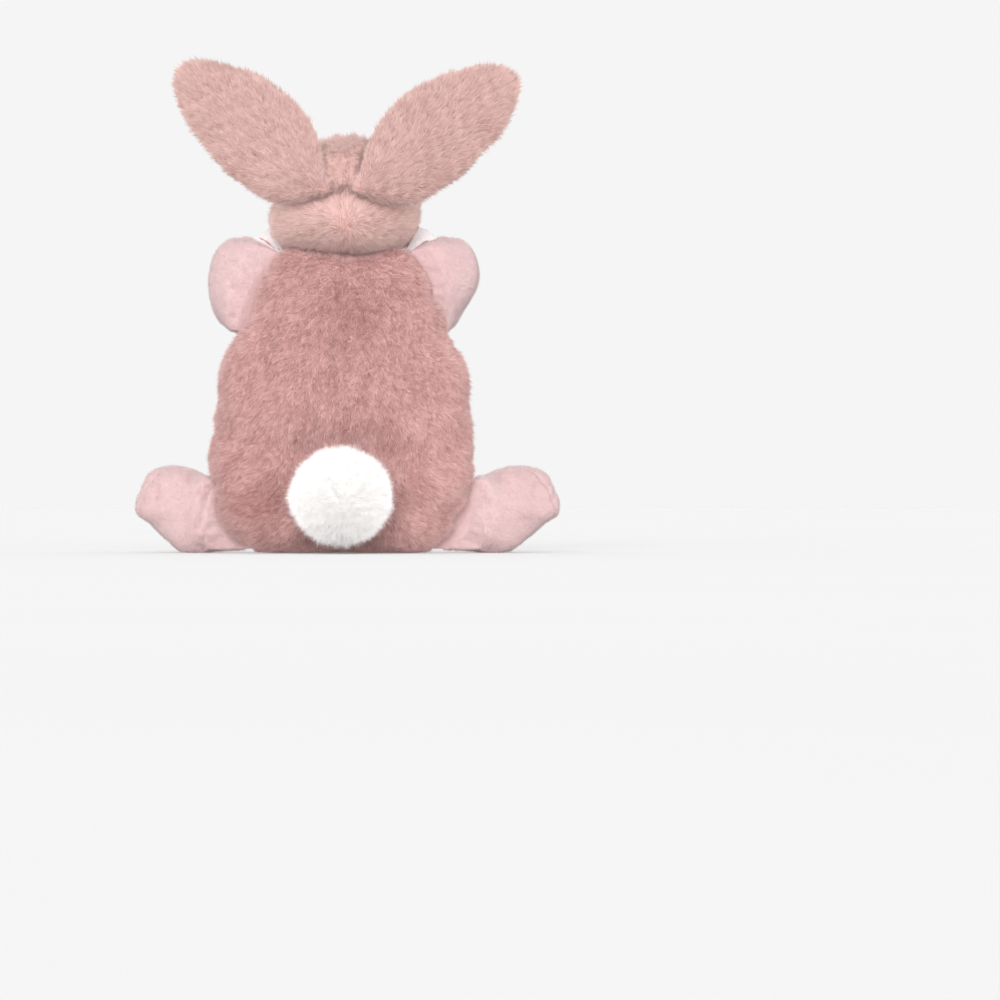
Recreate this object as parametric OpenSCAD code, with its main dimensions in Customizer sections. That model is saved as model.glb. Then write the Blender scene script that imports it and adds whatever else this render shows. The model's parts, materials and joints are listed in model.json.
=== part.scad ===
// Sitting plush bunny, about 240 mm tall to the tips of its ears.
// +Z is up, the face looks along -Y and the tail is on the +Y side.
// The origin is the centre of the flat seat, and the bunny's left side is +X.
// Every limb is a stuffed bag that is flattened where it is sewn in, so each one
// hinges about its own seam line.

/* [Body] */
// Half of the body's width at the hips
hip_half_w = 61; // [56:1:66]
// Half of the body's width just below the arms
chest_half_w = 41; // [38:1:44]
// Depth of the body behind the side seam, at the hips
hip_back_d = 31; // [27:1:34]
// Depth of the body in front of the side seam, at the hips
hip_front_d = 34; // [30:1:38]
// Thickness of a plush panel, with its pile pressed down
plush_t = 2; // [1.5:0.1:2.5]
// Thickness of a cotton or velour panel
cloth_t = 1.2; // [0.8:0.1:1.6]

/* [Head] */
// Half of the head's width at the cheeks
head_half_w = 33; // [30:1:35]
// How far the muzzle stands out from the face
muzzle_out = 9; // [4:1:12]
// Radius of the stuffed neck
neck_r = 8; // [7:0.5:10]

/* [Ears] */
// Length of an ear from its sewn corner to its tip
ear_len = 91; // [80:1:93]
// Half of an ear's greatest width
ear_half_w = 22; // [18:1:23]
// Half of an ear's thickness
ear_half_t = 3.6; // [3:0.1:4]
// Angle of an ear's length above the horizontal
ear_rise = 39; // [36:1:42]
// Angle by which the ears lean forward over the crown
ear_lean = 8; // [6:1:10]

/* [Limbs] */
// Half of an arm's height where it is sewn into the side seam
arm_root_h = 19; // [17:0.5:20]
// Half of an arm's thickness at the elbow
arm_half_t = 13.5; // [11:0.5:14]
// Half of a leg's height where it is sewn into the side seam
leg_root_h = 19; // [17:0.5:20]
// Half of a leg's thickness at the heel
leg_half_t = 17.5; // [15:0.5:18]

/* [Tail] */
// Radius of the pompom, with its pile pressed down
tail_r = 22; // [19:0.5:23]
// Radius of the cord that ties the pompom on
tie_r = 1.1; // [0.8:0.1:1.3]

/* [Hidden] */

PLUSH = "#c8928e";
VELOUR = "#eabfc3";
COTTON = "#f4e9ea";
FIBRE = "#f7f5f0";
WHITE_FUR = "#f8f6f3";
EYE_THREAD = "#4a3836";
NOSE_THREAD = "#b5606c";

fill_gap = 0.4; // between a panel and the filling behind it
ear_plush_t = plush_t - 0.4; // the ears' plush is pressed thinner
body_steps = 20;
body_sides = 32;
head_steps = 14;
head_sides = 32;
limb_steps = 10;
cap_steps = 5;
tip_angle = 84; // a limb's last ring, just short of a point
limb_sides = 16;
ear_steps = 15;
ear_sides = 16;

// The seat: a flat panel let in between the lower edges of the body panels
seat_z = plush_t;
body_top = 144;
// The body from seat to shoulders: [height, half width, depth behind, depth in front]
body_rows = [
    [0, 36, 18, 20],
    [4, 43.5, 23, 25],
    [14, 53, 28, 30],
    [32, hip_half_w - 0.8, hip_back_d - 0.5, hip_front_d - 0.5],
    [52, hip_half_w, hip_back_d, hip_front_d],
    [84, hip_half_w - 5.5, hip_back_d - 2.5, hip_front_d - 3],
    [116, chest_half_w, 22.5, 24],
    [133, 35, 17.5, 19.5],
    [140, 30.5, 13, 15],
    [143, 22.5, 9, 10.5],
    [body_top, 13, 5, 6]
];

// The head from neck to crown, laid out in the same way
head_rows = [
    [146.5, 12, 8, 8],
    [147.8, 21.5, 15.5, 15.5],
    [151.5, 29, 21.5, 22],
    [158.5, head_half_w - 0.8, 24.5, 25.5],
    [168, head_half_w, 25, 26.5],
    [179, head_half_w - 2, 22.5, 25],
    [188, 25.5, 17, 19.5],
    [194.5, 16.5, 10.5, 12.5],
    [197.2, 8, 5, 6],
    [197.8, 2.6, 2.2, 2.4]
];
muzzle_z = 160;
muzzle_half_h = 10;
muzzle_half_w = 14;

// Stitched features: [x, height] on the face
eye_at = [13.5, 173];
eye_half_w = 2.3;
eye_half_h = 3;
eye_turn = 20;
nose_z = 166;
mouth_at = [2.9, 160.2];
stitch_sink = 0.9; // how deep the stitches sit in the pile
stitch_stand = 0.7; // how far they stand proud of it
pocket_gap = 0.1;

// The neck: a stuffed plug that turns in the body and nods in the head
neck_y = -1;
neck_bottom = 134;
neck_top = 156;
neck_gap = 0.4;
nod_room = 2.6; // extra room round the plug inside the head

// Ears: the sewn corner, then [share of the length, half width, half thickness, shift].
// The shift carries the first sections down, so the sewn end runs almost straight up.
ear_root = [8.5, 29.8, 173.5];
ear_rows = [
    [0.00, 2.5, 1.6, 0.5],
    [0.05, 7, ear_half_t - 0.8, 3],
    [0.11, 11.5, ear_half_t - 0.2, 4],
    [0.20, 16.5, ear_half_t, 2.2],
    [0.34, ear_half_w - 1.8, ear_half_t, 0.4],
    [0.50, ear_half_w - 0.8, ear_half_t, 0],
    [0.66, ear_half_w - 2.5, ear_half_t, 0],
    [0.80, ear_half_w - 6.5, ear_half_t - 0.3, 0],
    [0.91, ear_half_w - 11.5, ear_half_t - 1, 0],
    [0.975, ear_half_w - 16, ear_half_t - 1.8, 0],
    [1.00, 2.4, 0.9, 0]
];

// Arms: the seam line, then [x, y, z, half thickness, half height] along the arm
arm_seam_top = [36.6, -1, 143];
arm_seam_low = [51, -1, 105];
arm_rows = [
    [43.8, -1, 124, 2.6, arm_root_h],
    [48.2, -8, 126.8, 8, arm_root_h + 1.2],
    [51, -18, 128.6, arm_half_t - 0.5, arm_root_h + 1.2],
    [51, -30, 126.2, arm_half_t, 18],
    [47.5, -42, 122, arm_half_t - 0.5, 15.5],
    [42, -53, 118.5, 11, 13]
];

// Legs: the seam line, then [x, y, z, half thickness, half height] along the leg
leg_seam_top = [66.5, -1, 38.5];
leg_seam_low = [54.5, -1, 3.5];
leg_rows = [
    [60.6, -1, 20.4, 2.2, leg_root_h],
    [66.5, -8, 20.2, 9.5, leg_root_h + 0.8],
    [73.5, -17, 20.5, leg_half_t - 1.5, leg_root_h + 1.2],
    [83, -27, 24.3, leg_half_t, 18],
    [91.5, -34, 29, leg_half_t - 3, 14]
];

// The tail's tie: it pivots where it goes through the back panel
tail_z = 27;
tail_gap = 2.2; // from the back panel to the pompom
tie_hole_r = tie_r + 1;
knot_r = 3;
knot_room = 12; // round hollow that the knot swings in, centred in the back panel

// ---- curves -------------------------------------------------------------

function unit(v) = v / norm(v);

function mixed(a, b, t) = a * (1 - t) + b * t;

// A point on the smooth curve through p1 and p2
function smooth(p0, p1, p2, p3, t) =
    0.5 * (2 * p1 + (p2 - p0) * t + (2 * p0 - 5 * p1 + 4 * p2 - p3) * t * t
        + (3 * p1 - p0 - 3 * p2 + p3) * t * t * t);

// The row at share t of the way along a list of rows
function along(rows, t) =
    let (n = len(rows) - 1, f = min(max(t, 0), 1) * n, i = min(floor(f), n - 1))
    smooth(rows[max(i - 1, 0)], rows[i], rows[i + 1], rows[min(i + 2, n)], f - i);

// Steps along a limb, as [share of its length, size]: even, then closing round the tip
function tube_steps(cap) = concat(
    [for (i = [0 : limb_steps]) [(1 - cap) * i / limb_steps, 1]],
    [for (i = [1 : cap_steps])
        let (a = tip_angle * i / cap_steps) [1 - cap + cap * sin(a), cos(a)]]
);

// ---- sections -----------------------------------------------------------

// A flat section of the body or head, from angle from to angle to, drawn in by inset
function upright_arc(row, sides, from, to, inset, bump = 0) = [
    for (i = [0 : sides])
        let (
            a = from + (to - from) * i / sides,
            x = max(row[1] - inset, 0.5) * cos(a),
            depth = max((sin(a) > 0 ? row[2] : row[3]) - inset, 0.5),
            out = bump * exp(-pow(x / muzzle_half_w, 2)) * max(-sin(a), 0)
        )
        [x, depth * sin(a) - out, row[0]]
];

// How far the muzzle stands out at height z
function muzzle_at(z) = muzzle_out * exp(-pow((z - muzzle_z) / muzzle_half_h, 2));

// A section across a limb: row is [x, y, z, half thickness, half height]
function cross_arc(row, dir, up, sides, from, to, scale_by, inset) =
    let (u = unit(cross(up, dir)), v = unit(cross(dir, u)), c = [row[0], row[1], row[2]])
    [for (i = [0 : sides])
        let (a = from + (to - from) * i / sides)
        c + u * max(row[3] * scale_by - inset, 0.3) * cos(a)
            + v * max(row[4] * scale_by - inset, 0.3) * sin(a)];

function reversed(list) = [for (i = [len(list) - 1 : -1 : 0]) list[i]];

function without_last(list) = [for (i = [0 : len(list) - 2]) list[i]];

// The rings from first to last of a skin, for a filling that ends inside it
function rings_between(rings, first, drop) = [for (i = [first : len(rings) - 1 - drop]) rings[i]];

// ---- solids -------------------------------------------------------------

// Triangles that close one end: a fan over a whole section, a strip over a wall
function end_faces(n, wall) =
    wall
    ? [for (i = [0 : n / 2 - 2]) each [[i, i + 1, n - 2 - i], [i, n - 2 - i, n - 1 - i]]]
    : [for (i = [1 : n - 2]) [0, i, i + 1]];

// A closed skin over rings that all have the same number of points
module skin(rings, wall = 0) {
    n = len(rings[0]);
    top_start = (len(rings) - 1) * n;
    points = [for (ring = rings) each ring];
    sides = [
        for (k = [0 : len(rings) - 2]) for (i = [0 : n - 1])
            let (
                a = k * n + i,
                b = k * n + (i + 1) % n,
                c = (k + 1) * n + (i + 1) % n,
                d = (k + 1) * n + i
            )
            each [[a, d, c], [a, c, b]]
    ];
    bottom = end_faces(n, wall > 0);
    top = [for (f = bottom) [f[0] + top_start, f[2] + top_start, f[1] + top_start]];
    polyhedron(points, concat(sides, bottom, top), convexity = 4);
}

// Rings of an upright piece: a whole section, or a wall of thickness wall
function upright_rings(rows, steps, sides, from, to, inset, wall, muzzle = false) = [
    for (k = [0 : steps])
        let (
            row = along(rows, k / steps),
            bump = muzzle ? muzzle_at(row[0]) : 0,
            outer = upright_arc(row, sides, from, to, inset, bump),
            inner = upright_arc(row, sides, from, to, inset + wall, bump)
        )
        wall > 0 ? concat(outer, reversed(inner)) : without_last(outer)
];

// Rings of a limb: sewn at the start along seam_up, and closed round its tip
function limb_rings(rows, seam_up, sides, from, to, inset, wall, cap) = [
    for (s = tube_steps(cap))
        let (
            row = along(rows, s[0]),
            ahead = along(rows, min(s[0] + 0.04, 1)),
            behind = along(rows, max(s[0] - 0.04, 0)),
            dir = unit([for (i = [0 : 2]) ahead[i] - behind[i]]),
            up = unit(mixed(seam_up, [0, 0, 1], min(1, s[0] * 2.5))),
            outer = cross_arc(row, dir, up, sides, from, to, s[1], inset),
            inner = cross_arc(row, dir, up, sides, from, to, s[1], inset + wall)
        )
        wall > 0 ? concat(outer, reversed(inner)) : without_last(outer)
];

// Rings of an ear in its own plane: length along +Z, width along X, thickness along Y
function ear_rings(sides, from, to, inset, wall) = [
    for (k = [0 : ear_steps])
        let (
            row = along(ear_rows, k / ear_steps),
            section = [row[0], row[1], row[2], row[2]],
            shift = row[3],
            outer = upright_arc(section, sides, from, to, inset),
            inner = upright_arc(section, sides, from, to, inset + wall),
            ring = wall > 0 ? concat(outer, reversed(inner)) : without_last(outer)
        )
        [for (p = ring) [p[0] + shift, p[1], p[2] * ear_len]]
];

// ---- body ---------------------------------------------------------------

module neck_hole(extra, top) {
    translate([0, neck_y, neck_bottom - extra])
        cylinder(r = neck_r + extra, h = top - neck_bottom + extra, $fn = 48);
}

module body_wall(from, to, wall) {
    difference() {
        skin(upright_rings(body_rows, body_steps, body_sides / 2, from, to, 0, wall), wall);
        neck_hole(neck_gap, body_top + 1);
        // The tie's hole through the back
        translate([0, 0, tail_z]) rotate([-90, 0, 0])
            cylinder(r = tie_hole_r, h = 60, $fn = 32);
        // A clean lower edge that meets the seat panel
        translate([-100, -100, -50]) cube([200, 200, 50 + seat_z]);
    }
}

module back_panel() {
    color(PLUSH) body_wall(0, 180, plush_t);
}

module front_panel() {
    color(COTTON) body_wall(180, 360, cloth_t);
}

module seat_panel() {
    color(PLUSH) intersection() {
        skin(rings_between(upright_rings(body_rows, body_steps, body_sides, 0, 360, 0, 0), 0, 15));
        translate([-100, -100, 0]) cube([200, 200, seat_z]);
    }
}

module body_filling() {
    color(FIBRE) difference() {
        skin(upright_rings(body_rows, body_steps, body_sides, 0, 360, plush_t + fill_gap, 0));
        neck_hole(neck_gap, body_top + 1);
        translate([-100, -100, -50]) cube([200, 200, 50 + seat_z + fill_gap]);
        // Room for the knot of the tail's tie
        translate([0, hip_back_d, tail_z]) sphere(r = knot_room, $fn = 48);
    }
}

// ---- head ---------------------------------------------------------------

module neck_filling() {
    color(FIBRE) translate([0, neck_y, neck_bottom])
        cylinder(r = neck_r, h = neck_top - neck_bottom, $fn = 48);
}

module head_wall(from, to, sides) {
    difference() {
        skin(upright_rings(head_rows, head_steps, sides, from, to, 0, plush_t, true), plush_t);
        neck_hole(nod_room, neck_top + nod_room);
    }
}

module head_back_left() {
    color(PLUSH) head_wall(0, 90, head_sides / 4);
}

module head_back_right() {
    color(PLUSH) head_wall(90, 180, head_sides / 4);
}

// The stitched features are let into pockets in the pile
module face_panel() {
    color(PLUSH) difference() {
        head_wall(180, 360, head_sides / 2);
        for (side = [0, 1]) mirror([side, 0, 0]) eye_shape(pocket_gap);
        nose_shape(pocket_gap);
        for (side = [0, 1]) mirror([side, 0, 0]) mouth_shape(pocket_gap);
    }
}

module head_filling() {
    color(FIBRE) difference() {
        skin(rings_between(
            upright_rings(head_rows, head_steps, head_sides, 0, 360, plush_t + fill_gap, 0, true),
            1, 1));
        neck_hole(nod_room, neck_top + nod_room);
    }
}

// The face's surface at x and height z, seen from the front
function face_y(x, z) =
    let (
        shares = [for (t = [0 : 0.005 : 1]) if (along(head_rows, t)[0] <= z) t],
        row = along(head_rows, shares[len(shares) - 1]),
        k = sqrt(max(1 - pow(x / row[1], 2), 0))
    )
    -row[3] * k - muzzle_at(z) * exp(-pow(x / muzzle_half_w, 2)) * k;

// Stands its children on the face at x and z, turned to face outwards
module on_face(x, z) {
    sideways = atan2(face_y(x - 1, z) - face_y(x + 1, z), 2);
    upwards = atan2(face_y(x, z - 1) - face_y(x, z + 1), 2);
    translate([x, face_y(x, z), z]) rotate([upwards, 0, -sideways]) rotate([90, 0, 0]) children();
}

module eye_shape(extra) {
    on_face(eye_at[0], eye_at[1]) rotate([0, 0, eye_turn])
        translate([0, 0, -stitch_sink - extra])
        scale([eye_half_w + extra, eye_half_h + extra, 1])
        cylinder(r = 1, h = stitch_sink + stitch_stand + extra, $fn = 40);
}

module nose_shape(extra) {
    on_face(0, nose_z) translate([0, 0, -stitch_sink - extra])
        linear_extrude(height = stitch_sink + stitch_stand + extra) offset(delta = extra)
        polygon([[-3.8, 1.6], [-2.8, 2.6], [2.8, 2.6], [3.8, 1.6], [0.8, -2.3], [-0.8, -2.3]]);
}

// One of the two curved stitches below the nose
module mouth_shape(extra) {
    on_face(mouth_at[0], mouth_at[1]) translate([0, 0, -stitch_sink - extra])
        difference() {
            cylinder(r = 2.5 + extra, h = stitch_sink + stitch_stand + extra, $fn = 40);
            translate([0, 0, -1]) cylinder(r = 1.6 - extra, h = 5, $fn = 40);
            translate([-5, 0.2 + extra, -1]) cube([10, 5, 5]);
        }
}

module left_eye() {
    color(EYE_THREAD) eye_shape(0);
}

module right_eye() {
    mirror([1, 0, 0]) left_eye();
}

module nose() {
    color(NOSE_THREAD) nose_shape(0);
}

module mouth() {
    color(NOSE_THREAD) for (side = [0, 1]) mirror([side, 0, 0]) mouth_shape(0);
}

// ---- ears ---------------------------------------------------------------

// Puts an ear that stands along +Z into its place on the left of the head
module place_ear() {
    translate(ear_root) rotate([ear_lean, 0, 0]) rotate([0, 90 - ear_rise, 0]) children();
}

module ear_half(from, to, wall) {
    place_ear() skin(ear_rings(ear_sides / 2, from, to, 0, wall), wall);
}

module ear_filling() {
    place_ear() skin(rings_between(ear_rings(ear_sides, 0, 360, ear_plush_t + fill_gap, 0), 1, 2));
}

module left_ear_back() {
    color(PLUSH) ear_half(0, 180, ear_plush_t);
}

module left_ear_lining() {
    color(COTTON) ear_half(180, 360, cloth_t);
}

module left_ear_filling() {
    color(FIBRE) ear_filling();
}

module right_ear_back() {
    mirror([1, 0, 0]) left_ear_back();
}

module right_ear_lining() {
    mirror([1, 0, 0]) left_ear_lining();
}

module right_ear_filling() {
    mirror([1, 0, 0]) left_ear_filling();
}

// ---- arms ---------------------------------------------------------------

arm_up = unit(arm_seam_top - arm_seam_low);
arm_cap = 0.16;

module arm_half(from, to) {
    skin(limb_rings(arm_rows, arm_up, limb_sides / 2, from, to, 0, cloth_t, arm_cap), cloth_t);
}

module left_arm_outer() {
    color(VELOUR) arm_half(-90, 90);
}

module left_arm_inner() {
    color(VELOUR) arm_half(90, 270);
}

module left_arm_filling() {
    color(FIBRE) skin(rings_between(
        limb_rings(arm_rows, arm_up, limb_sides, 0, 360, cloth_t + fill_gap, 0, arm_cap), 1, 1));
}

module right_arm_outer() {
    mirror([1, 0, 0]) left_arm_outer();
}

module right_arm_inner() {
    mirror([1, 0, 0]) left_arm_inner();
}

module right_arm_filling() {
    mirror([1, 0, 0]) left_arm_filling();
}

// ---- legs ---------------------------------------------------------------

leg_up = unit(leg_seam_top - leg_seam_low);
leg_cap = 0.2;
sole_rings = 4; // the last rings of the leg belong to the sole

module leg_half(from, to) {
    rings = limb_rings(leg_rows, leg_up, limb_sides / 2, from, to, 0, cloth_t, leg_cap);
    skin(rings_between(rings, 0, sole_rings), cloth_t);
}

module left_leg_outer() {
    color(VELOUR) leg_half(-90, 90);
}

module left_leg_inner() {
    color(VELOUR) leg_half(90, 270);
}

// A shallow cup that closes the end of the foot
module left_foot_sole() {
    outer = limb_rings(leg_rows, leg_up, limb_sides, 0, 360, 0, 0, leg_cap);
    inner = limb_rings(leg_rows, leg_up, limb_sides, 0, 360, cloth_t, 0, leg_cap);
    first = len(outer) - 1 - sole_rings;
    color(VELOUR) difference() {
        skin(rings_between(outer, first, 0));
        skin(rings_between(inner, first - 1, 1));
    }
}

module left_leg_filling() {
    color(FIBRE) skin(rings_between(
        limb_rings(leg_rows, leg_up, limb_sides, 0, 360, cloth_t + fill_gap, 0, leg_cap), 1, 2));
}

module right_leg_outer() {
    mirror([1, 0, 0]) left_leg_outer();
}

module right_leg_inner() {
    mirror([1, 0, 0]) left_leg_inner();
}

module right_foot_sole() {
    mirror([1, 0, 0]) left_foot_sole();
}

module right_leg_filling() {
    mirror([1, 0, 0]) left_leg_filling();
}

// ---- tail ---------------------------------------------------------------

back_y = 29.4; // the back panel's outer face at the tail
tail_centre = [0, back_y + tail_gap + tail_r, tail_z];
core_r = tail_r - 6;

module pompom_fur() {
    color(WHITE_FUR) translate(tail_centre) difference() {
        sphere(r = tail_r, $fn = 72);
        sphere(r = core_r + fill_gap, $fn = 72);
        rotate([90, 0, 0]) cylinder(r = tie_r + fill_gap, h = tail_r + 5, $fn = 32);
    }
}

module pompom_core() {
    color(FIBRE) translate(tail_centre) difference() {
        sphere(r = core_r, $fn = 72);
        rotate([90, 0, 0]) cylinder(r = tie_r + fill_gap, h = tail_r + 5, $fn = 32);
    }
}

// A cord from inside the pompom through the back panel, with its knot behind the panel
module tail_tie() {
    knot_y = back_y - plush_t - knot_r - 0.8;
    color(FIBRE) translate([0, knot_y, tail_z]) {
        sphere(r = knot_r, $fn = 40);
        rotate([-90, 0, 0]) cylinder(r = tie_r, h = tail_centre[1] - 4 - knot_y, $fn = 32);
    }
}

// ---- parts --------------------------------------------------------------

back_panel();
front_panel();
seat_panel();
body_filling();
neck_filling();
head_back_left();
head_back_right();
face_panel();
head_filling();
left_eye();
right_eye();
nose();
mouth();
left_ear_back();
left_ear_lining();
left_ear_filling();
right_ear_back();
right_ear_lining();
right_ear_filling();
left_arm_outer();
left_arm_inner();
left_arm_filling();
right_arm_outer();
right_arm_inner();
right_arm_filling();
left_leg_outer();
left_leg_inner();
left_foot_sole();
left_leg_filling();
right_leg_outer();
right_leg_inner();
right_foot_sole();
right_leg_filling();
pompom_fur();
pompom_core();
tail_tie();
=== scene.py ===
import json
import math

import bmesh
import bpy
import numpy as np
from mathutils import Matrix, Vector
from mathutils.bvhtree import BVHTree


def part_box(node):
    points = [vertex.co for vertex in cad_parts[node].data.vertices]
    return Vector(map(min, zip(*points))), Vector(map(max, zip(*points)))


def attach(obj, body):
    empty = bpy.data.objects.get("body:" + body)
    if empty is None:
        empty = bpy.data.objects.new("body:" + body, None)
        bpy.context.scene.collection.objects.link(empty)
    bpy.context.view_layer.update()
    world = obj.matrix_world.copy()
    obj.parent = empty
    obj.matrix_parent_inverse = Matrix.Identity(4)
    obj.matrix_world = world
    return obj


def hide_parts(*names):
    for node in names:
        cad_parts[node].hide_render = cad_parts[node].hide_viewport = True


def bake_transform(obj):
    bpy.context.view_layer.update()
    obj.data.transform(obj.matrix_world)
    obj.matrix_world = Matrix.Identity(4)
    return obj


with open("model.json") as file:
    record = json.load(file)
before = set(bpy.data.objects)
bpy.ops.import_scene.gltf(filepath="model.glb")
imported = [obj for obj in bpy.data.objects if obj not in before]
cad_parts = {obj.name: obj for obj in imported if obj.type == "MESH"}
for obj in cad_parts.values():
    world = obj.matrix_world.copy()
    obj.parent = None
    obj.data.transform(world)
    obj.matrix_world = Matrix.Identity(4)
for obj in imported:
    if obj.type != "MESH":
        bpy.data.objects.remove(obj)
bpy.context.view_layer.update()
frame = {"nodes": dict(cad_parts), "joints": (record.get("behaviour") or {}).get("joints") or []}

MM = 0.001
UP = np.array([0.0, 0.0, 1.0])

# ---- sizes shared with part.scad ----

BODY_ROWS = [  # height, half width, depth behind, depth in front
    [0, 36, 18, 20], [4, 43.5, 23, 25], [14, 53, 28, 30], [32, 60.2, 30.5, 33.5],
    [52, 61, 31, 34], [84, 55.5, 28.5, 31], [116, 41, 22.5, 24], [133, 35, 17.5, 19.5],
    [140, 30.5, 13, 15], [143, 22.5, 9, 10.5], [144, 13, 5, 6],
]
HEAD_ROWS = [
    [146.5, 12, 8, 8], [147.8, 21.5, 15.5, 15.5], [151.5, 29, 21.5, 22],
    [158.5, 32.2, 24.5, 25.5], [168, 33, 25, 26.5], [179, 31, 22.5, 25],
    [188, 25.5, 17, 19.5], [194.5, 16.5, 10.5, 12.5], [197.2, 8, 5, 6], [197.8, 2.6, 2.2, 2.4],
]
EAR_ROWS = [  # share of the length, half width, half thickness, shift down
    [0.00, 2.5, 1.6, 0.5], [0.05, 7, 2.8, 3], [0.11, 11.5, 3.4, 4], [0.20, 16.5, 3.6, 2.2],
    [0.34, 20.2, 3.6, 0.4], [0.50, 21.2, 3.6, 0], [0.66, 19.5, 3.6, 0], [0.80, 15.5, 3.3, 0],
    [0.91, 10.5, 2.6, 0], [0.975, 6, 1.8, 0], [1.00, 2.4, 0.9, 0],
]
EAR_ROOT = np.array([8.5, 29.8, 173.5])
EAR_LENGTH, EAR_RISE, EAR_LEAN = 91, 39, 8
ARM_ROWS = [  # x, y, z, half thickness, half height
    [43.8, -1, 124, 2.6, 19], [48.2, -8, 126.8, 8, 20.2], [51, -18, 128.6, 13, 20.2],
    [51, -30, 126.2, 13.5, 18], [47.5, -42, 122, 13, 15.5], [42, -53, 118.5, 11, 13],
]
ARM_SEAM = np.array([-14.4, 0, 38.0])
LEG_ROWS = [
    [60.6, -1, 20.4, 2.2, 19], [66.5, -8, 20.2, 9.5, 19.8], [73.5, -17, 20.5, 16, 20.2],
    [83, -27, 24.3, 17.5, 18], [91.5, -34, 29, 14.5, 14],
]
LEG_SEAM = np.array([12.0, 0, 35.0])
MUZZLE = {"out": 9, "z": 160, "half_h": 10, "half_w": 14}
TAIL_CENTRE = np.array([0, 53.6, 27.0])
SOLE_RING = 55  # the ring of a leg where its sole is sewn on
BODY_RINGS, BODY_SIDES, BODY_PILE_SPLIT = 104, 144, 46  # the body's pile is split at a ring
HEAD_RINGS, HEAD_SIDES = 104, 160
EAR_RINGS, EAR_SIDES = 60, 72
LIMB_RINGS, LIMB_SIDES = 56, 80
BODY_FLOOR, LIMB_FLOOR, PILE_FLOOR = 0.15, 0.1, 0.3  # the lowest height that each may reach
POMPOM_CORE = 18.4
POMPOM_HAIRS, POMPOM_HAIR_LENGTH = 42000, 6.6
POMPOM_SQUASH = np.array([1.0, 1.0, 0.94])
POMPOM_GLOW = np.array([0, 0.9, 0.25])  # turns the shading of the white fur towards the light
PILE_HEIGHT = 0.6  # how far the plush skin lies below the CAD surface, to leave room for its pile
PLUSH_WALL, COTTON_WALL, EAR_WALL = 1.2, 0.9, 0.7
WHORL_X, WHORL_Z = -1.9, 153  # where the pile of the head spreads from
HEAD_SEAM_X = -1.7
LEFT_CREASE_X, RIGHT_CREASE_X = 8.6, -7.2  # the upright creases between the ears
HIP_CREASE = ([-61, 34], [-50.4, 23], [-43.5, 11])  # x and z of a crease in the right hip
HINGES_M = {j["name"]: np.array(j["pos_m"]) for j in frame["joints"]}


# ---- curves and noise ----

def unit(v):
    v = np.asarray(v, float)
    return v / np.maximum(np.linalg.norm(v, axis=-1, keepdims=True), 1e-9)


def along(rows, t):
    """Rows at shares t of the way through a list of rows, on a smooth curve."""
    rows, t = np.asarray(rows, float), np.atleast_1d(np.asarray(t, float))
    n = len(rows) - 1
    f = np.clip(t, 0, 1) * n
    i = np.minimum(f.astype(int), n - 1)
    u = (f - i)[:, None]
    p0, p1, p2, p3 = rows[np.maximum(i - 1, 0)], rows[i], rows[i + 1], rows[np.minimum(i + 2, n)]
    return 0.5 * (2 * p1 + (p2 - p0) * u + (2 * p0 - 5 * p1 + 4 * p2 - p3) * u * u
                  + (3 * p1 - p0 - 3 * p2 + p3) * u ** 3)


def ease(x, low, high):
    """0 below low, 1 above high, smooth between."""
    t = np.clip((np.asarray(x, float) - low) / (high - low), 0, 1)
    return t * t * (3 - 2 * t)


def bump(d, width):
    return np.exp(-(np.asarray(d, float) / width) ** 2)


def waves(p, length, seed, terms=9):
    """Smooth noise of about -1 to 1, with features about half of length across."""
    rng = np.random.default_rng(seed)
    k = unit(rng.normal(size=(terms, 3))) * rng.uniform(0.7, 1.3, (terms, 1)) * 2 * math.pi / length
    phase = rng.uniform(0, 2 * math.pi, terms)
    return np.sin(p @ k.T + phase).sum(-1) / terms ** 0.5


def wave_vectors(p, length, seed):
    return np.stack([waves(p, length, seed + i) for i in range(3)], -1)


def xyz(p):
    """Views of x, y and z of the points p: a change made to one in place changes p."""
    return p[..., 0], p[..., 1], p[..., 2]


def line_distance(p, a, b):
    a, b = np.asarray(a, float), np.asarray(b, float)
    d = b - a
    t = np.clip(((p - a) @ d) / (d @ d), 0, 1)
    return np.linalg.norm(p - (a + t[..., None] * d), axis=-1)


# ---- grids ----

def upright_grid(rows, rings, sides, muzzle=None):
    """Rings of the body or head; side 0 is at +X and a quarter of the way round is +Y."""
    row = along(rows, np.linspace(0, 1, rings))
    a = np.linspace(0, 2 * math.pi, sides, endpoint=False)[None, :]
    c, s = np.cos(a), np.sin(a)
    x = row[:, 1:2] * c
    depth = np.where(s > 0, row[:, 2:3], row[:, 3:4])
    y = depth * s
    if muzzle:
        y = y - (muzzle["out"] * bump(row[:, 0:1] - muzzle["z"], muzzle["half_h"])
                 * bump(x, muzzle["half_w"]) * np.maximum(-s, 0))
    z = np.broadcast_to(row[:, 0:1], x.shape)
    return np.stack([x, y, z], -1)


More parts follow.
